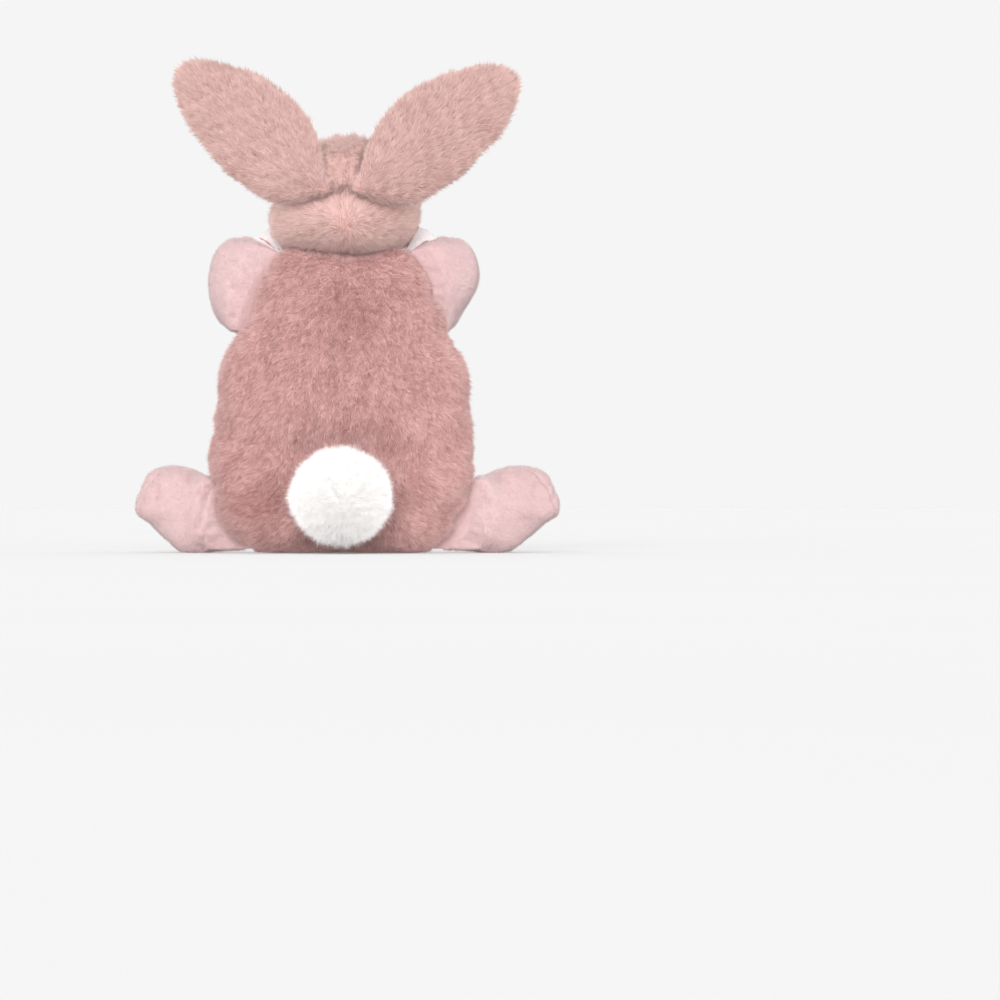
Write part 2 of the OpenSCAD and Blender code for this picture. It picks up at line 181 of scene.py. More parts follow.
def limb_grid(rows, seam, cap, tuck):
    """Rings of an arm or leg, sewn flat at its start and rounded over the last share cap of its
    length. Three more rings run on by tuck into the body, so that the seam shows no gap."""
    rings, cap_rings = LIMB_RINGS, LIMB_RINGS // 4
    angle = np.linspace(0, math.radians(87), cap_rings + 1)[1:]
    t = np.concatenate([np.linspace(0, 1 - cap, rings), 1 - cap + cap * np.sin(angle)])
    size = np.concatenate([np.ones(rings), np.cos(angle)])
    row = along(rows, t)
    ahead, behind = along(rows, np.minimum(t + 0.04, 1)), along(rows, np.maximum(t - 0.04, 0))
    direction = unit(ahead[:, :3] - behind[:, :3])
    w = np.minimum(1, t * 2.5)[:, None]
    up = unit(unit(seam) * (1 - w) + UP * w)
    u = unit(np.cross(up, direction))
    v = unit(np.cross(direction, u))
    a = np.linspace(0, 2 * math.pi, LIMB_SIDES, endpoint=False)
    ring = (row[:, None, :3]
            + u[:, None] * (row[:, 3] * size)[:, None, None] * np.cos(a)[None, :, None]
            + v[:, None] * (row[:, 4] * size)[:, None, None] * np.sin(a)[None, :, None])
    roots = [ring[:1] + np.array(tuck) * share for share in (1.0, 0.67, 0.33)]
    return np.concatenate(roots + [ring])


def ear_grid(rings, sides):
    """An ear in its own plane: length along +Z, width along X, back on the +Y side."""
    t = 0.35 * np.linspace(0, 1, rings) + 0.65 * np.sin(np.linspace(0, math.pi / 2, rings))
    row = along(EAR_ROWS, t)
    a = np.linspace(0, 2 * math.pi, sides, endpoint=False)[None, :]
    x = row[:, 1:2] * np.cos(a) + row[:, 3:4]
    y = row[:, 2:3] * np.sin(a)
    z = np.broadcast_to(row[:, 0:1] * EAR_LENGTH, x.shape)
    p = np.stack([x, y, z], -1)
    middle, end = p[:1].mean(1, keepdims=True), p[-1:].mean(1, keepdims=True)
    roots = [(p[:1] - middle) * share + middle - [0, 0, drop]
             for share, drop in ((0.1, 2.4), (0.7, 1.8))]
    tip = (p[-1:] - end) * 0.04 + end + [0, 0, 0.3]
    return np.concatenate(roots + [p, tip])


def turned(p, axis, degrees):
    a = math.radians(degrees)
    k = unit(axis)
    return (p * math.cos(a) + np.cross(k, p) * math.sin(a)
            + k * (p @ k)[..., None] * (1 - math.cos(a)))


def place_ear(p, droop=0.0):
    return turned(turned(p, [0, 1, 0], 90 - EAR_RISE + droop), [1, 0, 0], EAR_LEAN) + EAR_ROOT


def grid_normals(p):
    """Outward normals of a grid of rings."""
    along_piece = np.gradient(p, axis=0)
    round_piece = np.roll(p, -1, 1) - np.roll(p, 1, 1)
    n = unit(np.cross(round_piece, along_piece))
    centre = p.mean(1, keepdims=True)
    return n if ((p - centre) * n).sum() >= 0 else -n


def mirrored(p):
    return p[:, ::-1] * [-1, 1, 1]


def sides_between(p, first, last):
    """The part of a closed grid from side first to side last, both kept."""
    return np.take(p, range(first, last + 1), axis=1, mode="wrap")


# ---- meshes ----

def linked(name, data):
    obj = bpy.data.objects.new(name, data)
    bpy.context.scene.collection.objects.link(obj)
    return obj


def new_object(name, verts_mm, faces):
    mesh = bpy.data.meshes.new(name)
    mesh.from_pydata((np.asarray(verts_mm) * MM).tolist(), [], [tuple(map(int, f)) for f in faces])
    mesh.validate()
    mesh.shade_smooth()
    return linked(name, mesh)


def quad_faces(rings, sides, wrap, start=0, flip=False):
    last = sides if wrap else sides - 1
    faces = []
    for k in range(rings - 1):
        for i in range(last):
            a, b = start + k * sides + i, start + k * sides + (i + 1) % sides
            c, d = b + sides, a + sides
            faces.append((a, d, c, b) if flip else (a, b, c, d))
    return faces


def outward(obj):
    """Turns all faces of a closed mesh outwards."""
    bm = bmesh.new()
    bm.from_mesh(obj.data)
    bmesh.ops.recalc_face_normals(bm, faces=bm.faces)
    bm.to_mesh(obj.data)
    bm.free()
    return obj


def closed_object(name, p):
    """A closed skin over a grid of rings, with a fan at each end."""
    rings, sides = p.shape[:2]
    verts = np.concatenate([p.reshape(-1, 3), p[0].mean(0)[None], p[-1].mean(0)[None]])
    low, high = rings * sides, rings * sides + 1
    faces = quad_faces(rings, sides, True)
    top = (rings - 1) * sides
    faces += [((i + 1) % sides, i, low) for i in range(sides)]
    faces += [(top + i, top + (i + 1) % sides, high) for i in range(sides)]
    return outward(new_object(name, verts, faces))


def wall_object(name, p, thickness, way=1):
    """A cloth panel: the grid as its outer face, and an inner face behind it. way is -1 for a
    grid that runs the other way round, as a mirrored one does."""
    rings, sides = p.shape[:2]
    n = way * unit(np.cross(np.gradient(p, axis=1), np.gradient(p, axis=0)))
    verts = np.concatenate([p.reshape(-1, 3), (p - n * thickness).reshape(-1, 3)])
    back = rings * sides
    faces = quad_faces(rings, sides, False) + quad_faces(rings, sides, False, back, True)
    for k in range(rings - 1):
        for i in (0, sides - 1):
            a, d = k * sides + i, (k + 1) * sides + i
            faces.append((a, d, back + d, back + a))
    for i in range(sides - 1):
        for k in (0, rings - 1):
            a, b = k * sides + i, k * sides + i + 1
            faces.append((a, b, back + b, back + a))
    return outward(new_object(name, verts, faces))


def add_uv(obj, name, uv):
    """uv holds one pair for each vertex."""
    layer = obj.data.uv_layers.new(name=name)
    index = np.empty(len(obj.data.loops), np.int32)
    obj.data.loops.foreach_get("vertex_index", index)
    layer.data.foreach_set("uv", np.asarray(uv, np.float32)[index].ravel())
    return layer


# ---- pile ----

def scatter(p, n, per_mm2, rng, weight=None):
    """Random points on a grid, in step with its area: their places and normals."""
    a, b, c, d = p[:-1, :-1], p[1:, :-1], p[1:, 1:], p[:-1, 1:]
    area = 0.5 * np.linalg.norm(np.cross(c - a, b - d), axis=-1)
    if weight is not None:
        area = area * weight(0.25 * (a + b + c + d))
    count = np.floor(area * per_mm2 + rng.random(area.shape)).astype(int)
    k, i = np.nonzero(count)
    times = count[k, i]
    k, i = np.repeat(k, times), np.repeat(i, times)
    s, t = rng.random((2, len(k), 1))

    def blend(g):
        return ((1 - s) * (1 - t) * g[k, i] + s * (1 - t) * g[k + 1, i]
                + s * t * g[k + 1, i + 1] + (1 - s) * t * g[k, i + 1])

    return blend(p), unit(blend(n))


def closed_sides(p):
    return np.concatenate([p, p[:, :1]], axis=1)


def tangent(v, n):
    return unit(v - (v * n).sum(-1, keepdims=True) * n)


def strand_mesh(name, root, normal, nap, length, width, lean, tone, rng, soft=0.55, floor=None,
                glow=(0, 0, 0)):
    """Closed tapered hairs, each a thin three-sided spike that starts a little below the skin.
    lean is in degrees from the normal towards the nap; tone is each hair's colour, from 0 for
    deep to 1 for pale; soft is how much the shading follows the hair and not the skin. Pale fur
    passes light on, so glow turns the shading of every hair one way and evens it out."""
    m = len(root)
    tilt = np.clip(np.radians(lean) + 0.15 * rng.normal(size=(m, 1)), 0, 1.45)
    way = unit(normal * np.cos(tilt) + nap * np.sin(tilt))
    tip = root + way * np.broadcast_to(length, m)[:, None]
    if floor is not None:
        tip[:, 2] = np.maximum(tip[:, 2], floor)
    side = unit(np.cross(way, normal) + 0.3 * rng.normal(size=(m, 3)))
    other = unit(np.cross(way, side))
    verts, vnorm = [], []
    for q in range(3):
        a = 2 * math.pi * q / 3
        out = side * math.cos(a) + other * math.sin(a)
        verts.append(root - normal * 0.3 + out * width * 0.5)
        vnorm.append(unit(out * soft + normal + glow))
    verts.append(tip)
    vnorm.append(unit(way * soft + normal + glow))
    verts, vnorm = np.stack(verts, 1), np.stack(vnorm, 1)
    tris = np.array([(2, 1, 0), (0, 1, 3), (1, 2, 3), (2, 0, 3)])
    tris = (tris[None] + 4 * np.arange(m)[:, None, None]).reshape(-1, 3)
    obj = fast_mesh(name, verts.reshape(-1, 3), tris)
    grow = np.tile([0.02, 0.02, 0.02, 0.98], m)
    add_uv(obj, "OFBake", np.stack([np.repeat(np.clip(tone, 0.02, 0.98), 4), grow], -1))
    obj.data.normals_split_custom_set_from_vertices(vnorm.reshape(-1, 3))
    return obj


def fast_mesh(name, verts, tris):
    mesh = bpy.data.meshes.new(name)
    mesh.vertices.add(len(verts))
    mesh.vertices.foreach_set("co", (verts * MM).astype(np.float32).ravel())
    mesh.loops.add(len(tris) * 3)
    mesh.loops.foreach_set("vertex_index", tris.astype(np.int32).ravel())
    mesh.polygons.add(len(tris))
    mesh.polygons.foreach_set("loop_start", np.arange(0, len(tris) * 3, 3, dtype=np.int32))
    mesh.update(calc_edges=True)
    mesh.shade_smooth()
    return linked(name, mesh)


def plush_pile(name, p, n, nap, tone, seed, length=4.5, per_mm2=6.5, width=0.46,
               lean=52, weight=None, shorter=None, floor=None, messy=1.0):
    """Dense plush over a grid. nap gives the way it lies at each point; tufts turn together."""
    rng = np.random.default_rng(seed)
    root, normal = scatter(p, n, per_mm2, rng, weight)
    stray = 0.42 * wave_vectors(root, 4.0, seed + 7) + 0.26 * wave_vectors(root, 2.1, seed + 12) \
        + 0.20 * wave_vectors(root, 14, seed + 17) + 0.24 * rng.normal(size=root.shape)
    way = tangent(nap(root, normal) + messy * stray, normal)
    upright = 11 * waves(root, 3.2, seed + 27)[:, None]
    long = length * (1 + 0.10 * waves(root, 3.0, seed + 37) + 0.12 * rng.normal(size=len(root)))
    if shorter is not None:
        long = long * shorter(root, normal)
    shade = (tone(root) + 0.19 * waves(root, 2.6, seed + 47) + 0.08 * waves(root, 7, seed + 52)
             + 0.07 * waves(root, 20, seed + 57) + 0.18 * rng.normal(size=len(root)))
    return strand_mesh(name, root, normal, way, long, width, lean + upright, shade, rng,
                       floor=floor)


# ---- materials ----

class Nodes:
    """A short way to build a material."""

    def __init__(self, name):
        self.mat = bpy.data.materials.new(name)
        self.mat.use_nodes = True
        self.tree = self.mat.node_tree
        self.bsdf = self.tree.nodes["Principled BSDF"]

    def add(self, kind, inputs=(), **settings):
        node = self.tree.nodes.new("ShaderNode" + kind)
        for key, value in settings.items():
            setattr(node, key, value)
        for key, value in dict(inputs).items():
            self.put(value, node.inputs[key])
        return node

    def put(self, value, socket):
        if isinstance(value, bpy.types.NodeSocket):
            self.tree.links.new(value, socket)
        else:
            socket.default_value = value

    def math(self, operation, a, b=0.0, clamp=False):
        return self.add("Math", {0: a, 1: b}, operation=operation, use_clamp=clamp).outputs[0]

    def times(self, a, b, clamp=False):
        return self.math("MULTIPLY", a, b, clamp)

    def plus(self, a, b):
        return self.math("ADD", a, b)

    def vectors(self, operation, a, b):
        return self.add("VectorMath", {0: a, 1: b}, operation=operation).outputs[0]

    def ramp(self, factor, stops):
        node = self.add("ValToRGB", {0: factor})
        elements = node.color_ramp.elements
        while len(elements) < len(stops):
            elements.new(0.5)
        for element, (place, colour) in zip(elements, stops):
            element.position = place
            element.color = (*colour, 1)
        return node.outputs[0]

    def mix(self, a, b, factor, blend="MIX"):
        node = self.add("Mix", data_type="RGBA", blend_type=blend)
        self.put(factor, node.inputs["Factor"])
        rgba = [s for s in node.inputs if s.type == "RGBA"]
        for socket, value in zip(rgba, (a, b)):
            self.put(value if isinstance(value, bpy.types.NodeSocket) else (*value, 1), socket)
        return [s for s in node.outputs if s.type == "RGBA"][0]

    def noise(self, scale, detail, vector):
        inputs = {"Scale": scale, "Detail": detail, "Vector": vector}
        return self.add("TexNoise", inputs).outputs[0]

    def place(self):
        return self.add("TexCoord").outputs["Object"]

    def finish(self, colour, roughness, bump=None, bump_m=0.0002, strength=1.0,
               sheen=0.0, sheen_tint=(1, 1, 1), specular=0.3):
        self.put(colour, self.bsdf.inputs["Base Color"])
        self.put(roughness, self.bsdf.inputs["Roughness"])
        self.bsdf.inputs["Specular IOR Level"].default_value = specular
        if sheen:
            self.bsdf.inputs["Sheen Weight"].default_value = sheen
            self.bsdf.inputs["Sheen Roughness"].default_value = 0.5
            self.bsdf.inputs["Sheen Tint"].default_value = (*sheen_tint, 1)
        if bump is not None:
            node = self.add("Bump", {"Height": bump, "Distance": bump_m, "Strength": strength})
            self.put(node.outputs[0], self.bsdf.inputs["Normal"])
        return self.mat


def pile_material(name, deep, pale, painted_root_shadow, sheen=0.25):
    """Fur whose colour runs from strand to strand (UV x), with painted shade that darkens each hair
    towards its root (UV y), where the hairs shade one another.
    """
    m = Nodes(name)
    uv = m.add("UVMap", uv_map="OFBake").outputs[0]
    xyz = m.add("SeparateXYZ", {0: uv})
    tone = m.ramp(xyz.outputs[0], [(0.0, deep), (1.0, pale)])
    # Painted shade: each hair darkens towards its root, where the hairs shade one another.
    grow = m.ramp(xyz.outputs[1], [(0.0, painted_root_shadow), (0.6, (0.97, 0.96, 0.96)), (1.0, (1, 1, 1))])
    colour = m.mix(tone, grow, 1.0, "MULTIPLY")
    return m.finish(colour, 0.85, sheen=sheen, sheen_tint=(1.0, 0.93, 0.91), specular=0.15)


def backing_material(name, colour, dark):
    """The knitted ground that the pile stands on."""
    m = Nodes(name)
    place = m.place()
    fine = m.noise(900, 3, place)
    wide = m.noise(60, 2, place)
    tone = m.ramp(m.plus(m.times(fine, 0.6), m.times(wide, 0.4)), [(0.3, dark), (0.7, colour)])
    return m.finish(tone, 0.95, fine, 0.0004, 0.6, sheen=0.2, specular=0.1)


def velour_material():
    m = Nodes("velour")
    place = m.place()
    fine = m.noise(2600, 2, place)
    tuft = m.noise(700, 3, place)
    wide = m.noise(38, 2, place)
    tone = m.ramp(m.plus(m.times(tuft, 0.45), m.times(wide, 0.55)),
                  [(0.32, VELOUR_DEEP), (0.5, VELOUR), (0.68, VELOUR_PALE)])
    speck = m.ramp(fine, [(0.3, (0.93, 0.91, 0.91)), (0.7, (1, 1, 1))])
    colour = m.mix(tone, speck, 1.0, "MULTIPLY")
    height = m.plus(m.times(fine, 0.5), tuft)
    rough = m.ramp(tuft, [(0.3, (0.75,) * 3), (0.7, (0.95,) * 3)])
    return m.finish(colour, rough, height, 0.00035, 0.55, sheen=0.45,
                    sheen_tint=(1.0, 0.88, 0.90), specular=0.15)


def print_material():
    """White plain-weave cotton with small pink flowers, leaves and dots. UV Cloth is in metres."""
    m = Nodes("printed_cotton")
    uv = m.add("UVMap", uv_map="Cloth").outputs[0]
    weave = weave_height(m, uv, 2600)
    ground = m.ramp(weave, [(0.0, (0.56, 0.525, 0.53)), (0.6, (0.67, 0.645, 0.645))])
    colour = ground
    for scale, size, petals, tint, seed in (
        (62, 0.30, 5, (0.40, 0.06, 0.105), 0.0),
        (95, 0.20, 3, (0.22, 0.27, 0.18), 3.7),
        (150, 0.17, 5, (0.42, 0.10, 0.15), 8.1),
    ):
        shape, core = flower(m, uv, scale, size, petals, seed)
        colour = m.mix(colour, tint, m.times(shape, 0.92))
        if petals == 5:
            colour = m.mix(colour, (0.72, 0.58, 0.42), m.times(core, 0.9))
    return m.finish(colour, 0.85, weave, 0.00012, 0.7, sheen=0.1, specular=0.2)


def weave_height(m, uv, threads_per_m):
    xyz = m.add("SeparateXYZ", {0: uv})
    waves_xy = [m.math("SINE", m.times(xyz.outputs[i], threads_per_m * math.pi))
                for i in (0, 1)]
    product = m.times(*waves_xy)
    return m.plus(m.times(product, 0.5), 0.5)


def flower(m, uv, scale, size, petals, seed):
    """Two masks: a flower in each cell of a grid with wandering centres, and the flower's eye."""
    moved = m.vectors("ADD", uv, (seed, seed * 0.7, 0))
    cell = m.add("TexVoronoi", {"Vector": moved, "Scale": scale, "Randomness": 0.75},
                 voronoi_dimensions="2D")
    scaled = m.vectors("MULTIPLY", moved, (scale,) * 3)
    centre = m.vectors("MULTIPLY", cell.outputs["Position"], (scale,) * 3)
    local = m.vectors("SUBTRACT", scaled, centre)
    xyz = m.add("SeparateXYZ", {0: local})
    angle = m.math("ARCTAN2", xyz.outputs[1], xyz.outputs[0])
    chance = m.add("SeparateColor", {0: cell.outputs["Color"]}).outputs[0]
    turn = m.times(chance, 6.28)
    lobes = m.math("COSINE", m.plus(m.times(angle, petals), turn))
    edge = m.plus(m.times(lobes, 0.28 * size), 0.72 * size)
    distance = cell.outputs["Distance"]
    shape = m.times(m.math("SUBTRACT", edge, distance), 40, clamp=True)
    core = m.times(m.math("SUBTRACT", 0.22 * size, distance), 60, clamp=True)
    return shape, core


def thread_material(name, colour, dark):
    m = Nodes(name)
    place = m.place()
    stretched = m.add("Mapping", {"Vector": place, "Scale": (3000, 3000, 600)}).outputs[0]
    tone = m.ramp(m.noise(1.0, 2, stretched), [(0.3, dark), (0.7, colour)])
    return m.finish(tone, 0.42, m.noise(1.0, 1, stretched), 0.0001, 0.5, sheen=0.15, specular=0.5)


def cord_material():
    m = Nodes("tie_cord")
    band = m.add("TexWave", {"Vector": m.place(), "Scale": 420, "Distortion": 1.0}).outputs[0]
    tone = m.ramp(band, [(0.2, (0.62, 0.60, 0.56)), (0.8, (0.90, 0.89, 0.86))])
    return m.finish(tone, 0.8, band, 0.0003, 0.8)


VELOUR = (0.56, 0.395, 0.395)
VELOUR_DEEP = (0.525, 0.35, 0.355)
VELOUR_PALE = (0.595, 0.44, 0.44)
# The ear's and the head's pile and ground are paler, greyer copies of the body's plush: painted light,
# for how light falls on the pile there.
EAR_DEEP_PAINTED_LIGHT = (0.47, 0.285, 0.265)
EAR_PALE_PAINTED_LIGHT = (0.745, 0.53, 0.487)
PLUSH_DEEP = (0.40, 0.195, 0.185)
PLUSH_PALE = (0.80, 0.51, 0.485)
HEAD_DEEP_PAINTED_LIGHT = (0.45, 0.25, 0.235)
HEAD_PALE_PAINTED_LIGHT = (0.785, 0.555, 0.512)
# Painted shade at the hairs' roots, where they shade one another.
PAINTED_ROOT_SHADOW = (0.70, 0.55, 0.53)


def set_material(obj, mat):
    obj.data.materials.clear()
    obj.data.materials.append(mat)


def finish_piece(obj, mat, nodes):
    set_material(obj, mat)
    if nodes:
        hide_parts(*nodes)


def dress(obj, mat, body, slot, *nodes):
    """A piece that moves with one body, in place of the named CAD nodes."""
    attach(obj, body)
    finish_piece(obj, mat, nodes)


def cross_joint(obj, mat, bodies, start_m, end_m, slot, *nodes):
    """Cloth at the seam where body bodies[1] is sewn to bodies[0]: its transform is baked and it takes
    its material, in place of the named CAD nodes. bodies, start_m, end_m and slot are not used.
    """
    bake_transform(obj)
    finish_piece(obj, mat, nodes)


# ---- shapes ----

def body_shape():
    p = upright_grid(BODY_ROWS, BODY_RINGS, BODY_SIDES)
    n = grid_normals(p)
    x, y, z = xyz(p)
    back = ease(y, -4, 6)
    dent = 3.0 * bump(np.hypot(x, z - TAIL_CENTRE[2]) - 25, 10) * back
    hip = 1.5 * bump(hip_crease_distance(p), 1.5) * back
    seam = 1.0 * bump(y, 2.5) * ease(z, 2, 8)
    lumps = 0.9 * waves(p, 48, 3) * ease(z, 2, 12)
    side = ease(abs(n[..., 0]), 0.25, 0.8)
    lumps += 3.2 * side * ease(z, 68, 94) * (1 - ease(z, 116, 137))
    left_lump = 2.0 * bump(z - 58, 20)
    right_lump = 1.8 * bump(z - 88, 18) + 2.2 * bump(z - 112, 8)
    lumps += side * np.where(x > 0, left_lump, right_lump)
    lumps += bump(z - 17, 11) * ease(abs(x), 25, 50) * np.where(x > 0, 2.6, -2.2)
    fold = 2.2 * bump(line_distance(p, [62, 5, 58], [16, 30, 50]), 6) * back
    fold += 1.6 * bump(line_distance(p, [-58, 5, 44], [-22, 30, 50]), 6) * back
    p = p - n * (dent + hip + seam + fold + PILE_HEIGHT * back - lumps)[..., None]
    x, y, z = xyz(p)
    z += 3.5 * back * ease(abs(x), 12, 26) * ease(z, 134, 142)
    x += 2.4 * np.sign(x) * bump(z - 132, 10) * ease(abs(x), 18, 32) * ease(y, -7, -1)
    return raised_to(BODY_FLOOR, p + shoulder_puff(p))


def raised_to(floor, p):
    """p, with no point lower than floor."""
    return np.stack([p[..., 0], p[..., 1], np.maximum(p[..., 2], floor)], -1)


def hip_crease_distance(p):
    start, middle, end = HIP_CREASE
    xz = p[..., [0, 2]]
    return np.minimum(line_distance(xz, start, middle), line_distance(xz, middle, end))


def shoulder_puff(p):
    """The front cotton stands up beside the neck, in front of the arms."""
    x, y, z = xyz(p)
    w = ease(abs(x), 20, 29) * ease(z, 121, 134) * ease(-y, 1.5, 7)
    outward_x = np.sign(x) * (2 + 8 * ease(abs(x), 24, 33))
    return w[..., None] * np.stack([outward_x, 0 * w - 2, 0 * w + 17], -1)


def head_shape():
    """The back of the head bulges in a strip between the ears and in two pads below them."""
    p = upright_grid(HEAD_ROWS, HEAD_RINGS, HEAD_SIDES, MUZZLE)
    n = grid_normals(p)
    x, y, z = xyz(p)
    back = ease(y, 0, 8)
    strip = 6.4 * (1 - ease(abs(x - 0.8), 5.6, 9.4)) * ease(z, 171, 176) \
        * (1 - ease(z, 184, 197)) * back
    pads = 2.2 * bump(z - 160, 9) * (1 - 0.45 * bump(x - HEAD_SEAM_X, 3.5)) * back
    creases = 1.8 * bump(x - LEFT_CREASE_X, 1.1) + 1.8 * bump(x - RIGHT_CREASE_X, 1.1)
    strip -= creases * ease(z, 176, 180) * (1 - ease(z, 190, 194)) * back
    seam = 0.4 * bump(x - HEAD_SEAM_X, 0.9) * (1 - ease(z, 166, 172)) * back
    fold = 1.8 * bump(z - 173.6, 1.5) * bump(x, 11) * back
    tuck = 2.2 * bump(np.hypot((x + 1.6) / 1.3, (z - 176) / 3.2), 1.0) * back
    whorl = 0.6 * bump(np.hypot(x - WHORL_X, z - WHORL_Z), 2.2) * back
    lumps = 0.6 * waves(p, 30, 5) - 1.5 * bump(z - 169, 8) * ease(x, 22, 31)
    return p + n * (strip + pads - seam - fold - tuck - whorl + lumps)[..., None]


def ear_shape(side):
    """The left ear, or a mirror image of the right one. The lining is cupped, and at the sewn
    end it is drawn forward onto the head."""
    share_of_length, droop = (0.962, -0.9) if side == "left" else (0.982, 2.5)
    flat = ear_grid(EAR_RINGS, EAR_SIDES)
    x, y, z = xyz(flat)
    front = ease(-y, 0.0, 2.0)
    y += 0.9 * bump(x, 9) * front * ease(z, 10, 30)
    z *= share_of_length
    x += 1.2 * bump(z - 20, 16) * ease(x, 0, 10)
    p = place_ear(flat, droop)
    x, y, z = xyz(p)
    y -= (1 - ease(x, 10, 26)) * front * 3.4
    n = grid_normals(p)
    return p + n * (0.4 + 0.5 * waves(p, 26, 11))[..., None]


def seam_pinch(p, n, depth, width_rings):
    """Draws a limb in along the seam that joins its outer and inner panels."""
    sides = p.shape[1]
    i = np.arange(sides)
    d = np.minimum(abs(i - sides / 4), abs(i - 3 * sides / 4))
    return p - n * (depth * bump(d, width_rings))[None, :, None]


def arm_shape(side):
    p = limb_grid(ARM_ROWS, ARM_SEAM, 0.16, (-5, -3.0, 0))
    n = grid_normals(p)
    p = seam_pinch(p, n, 0.9, 1.3)
    ring = np.arange(len(p))[:, None]
    p = p + n * (0.5 + 0.5 * waves(p, 20, 21) * ease(ring, 2, 12))[..., None]
    z = p[..., 2]
    high = ease(z, 124, 145)
    out = 1.0 * bump(z - 138, 11) - 0.8
    if side == "right":
        out = 0.4 * bump(z - 141, 10) - 7.2 * bump(z - 115, 13) - 0.8
    sewn = high * (1 - ease(ring, 6, 18))
    rise = 2.2 * high + 1.0 * sewn
    inward = -4.0 * sewn * (1 - ease(ring, 2, 12))
    puff = 0.9 * bump(ring - 14, 9)
    behind = 2.6 * bump(ring - 13, 12) * ease(n[..., 1], -0.5, 0.8)
    return p + n * puff[..., None] + np.stack([out * ease(ring, 0, 6) + inward, behind, rise], -1)


def leg_shape(side):
    p = limb_grid(LEG_ROWS, LEG_SEAM, 0.2, (-6, -3.0, 0))
    n = grid_normals(p)
    p = seam_pinch(p, n, 0.9, 1.3)
    ring = np.arange(len(p))[:, None]
    x, y, z = xyz(p)
    bend = 1.8 if side == "left" else 0.4  # the ankle's crease is deeper on the bunny's left
    ankle = line_distance(p[..., [0, 2]], [64.5, 34], [69.5, 12])
    crease = bend * bump(ankle, 1.4) * ease(y, -24, -12)
    toe = 0.9 * bump(np.hypot(x - 92.5, z - 28) - 4.3, 0.9) * ease(y, -40, -34)
    sole = 0.9 * bump(ring - SOLE_RING, 1.1)
    p = p + n * (0.5 + 0.5 * waves(p, 20, 31) * ease(ring, 2, 12) - crease - toe - sole)[..., None]
    tip = ease(x, 78, 96)
    reach = 1.2 if side == "left" else 3.4
    low_in = 10 * (1 - ease(z, 1, 14)) * (1 - ease(x, 56, 66))
    lift = 7.6 * tip * (1 - ease(z, 4, 22)) + 2.8 * tip * ease(z, 20, 36) \
        - 3.4 * (1 - ease(x, 64, 82)) * ease(z, 24, 38)
    behind = 2.4 * bump(ring - 12, 10) * ease(n[..., 1], -0.5, 0.8)
    return raised_to(LIMB_FLOOR, p + np.stack([reach * tip - low_in, behind, lift], -1))


# ---- cloth ----

CLOTH_SCALE = 10  # the cloth is solved at ten times its size
CLOTH_FRAMES = 14


def settle(p, pinned, grow, pressure, most):
    """Lets the cloth of a stuffed piece settle. It is cut larger than its seams by the share
    grow and the stuffing presses it outwards, so it puckers along the seams, which are pinned.
    No point moves by more than most."""
    obj = closed_object("cloth_trial", p * CLOTH_SCALE)
    pins = np.nonzero(pinned.ravel())[0].tolist() + [pinned.size]
    group = obj.vertex_groups.new(name="pins")
    group.add(pins, 1.0, "REPLACE")
    cloth = obj.modifiers.new("cloth", "CLOTH")
    settings = cloth.settings
    settings.vertex_group_mass = "pins"
    settings.quality = 7
    settings.mass = 0.3
    settings.tension_stiffness = settings.compression_stiffness = 20
    settings.shear_stiffness = 8
    settings.bending_stiffness = 1.5
    settings.shrink_min = -grow
    settings.use_pressure = True
    settings.uniform_pressure_force = pressure
    settings.effector_weights.gravity = 0
    cloth.point_cache.frame_start, cloth.point_cache.frame_end = 1, CLOTH_FRAMES
    scene = bpy.context.scene
    for frame_number in range(1, CLOTH_FRAMES + 1):
        scene.frame_set(frame_number)
    solved = obj.evaluated_get(bpy.context.evaluated_depsgraph_get()).to_mesh()
    co = np.empty(len(solved.vertices) * 3)
    solved.vertices.foreach_get("co", co)
    scene.frame_set(1)
    bpy.data.objects.remove(obj)
    q = co.reshape(-1, 3)[:p[..., 0].size].reshape(p.shape) / MM / CLOTH_SCALE
    move = q - p
    size = np.linalg.norm(move, axis=-1, keepdims=True)
    return p + move * np.minimum(1, most / np.maximum(size, 1e-6))


def settle_coarse(p, pinned, grow, pressure, most):
    """settle, on every second ring and side, with the movement spread back over all of them."""
    q = p[::2, ::2]
    move = settle(q, pinned[::2, ::2], grow, pressure, most) - q
    k, kt = np.divmod(np.arange(len(p)), 2)
    beyond = np.minimum(k + 1, len(q) - 1)
    kt = 0.5 * kt[:, None, None]
    move = move[k] * (1 - kt) + move[beyond] * kt
    i, it = np.divmod(np.arange(p.shape[1]), 2)
    it = 0.5 * it[None, :, None]
    return p + move[:, i] * (1 - it) + move[:, (i + 1) % q.shape[1]] * it


def body_pins(p):
    """The body is held along its side seams, round its base and neck, and where the tail is tied."""
    rings, sides = p.shape[:2]
    pinned = np.zeros((rings, sides), bool)
    pinned[:3] = pinned[-6:] = True
    for seam in (0, sides // 2):
        pinned[:, seam] = True
    tail = np.hypot(p[..., 0], p[..., 2] - TAIL_CENTRE[2]) < 4
    return pinned | (tail & (p[..., 1] > 0))


def limb_pins(p, root_rings):
    """A limb is held at its root and along the seams at its top and bottom."""
    rings, sides = p.shape[:2]
    pinned = np.zeros((rings, sides), bool)
    pinned[:root_rings] = True
    pinned[:-6, sides // 4] = pinned[:-6, 3 * sides // 4] = True
    return pinned


# ---- building ----

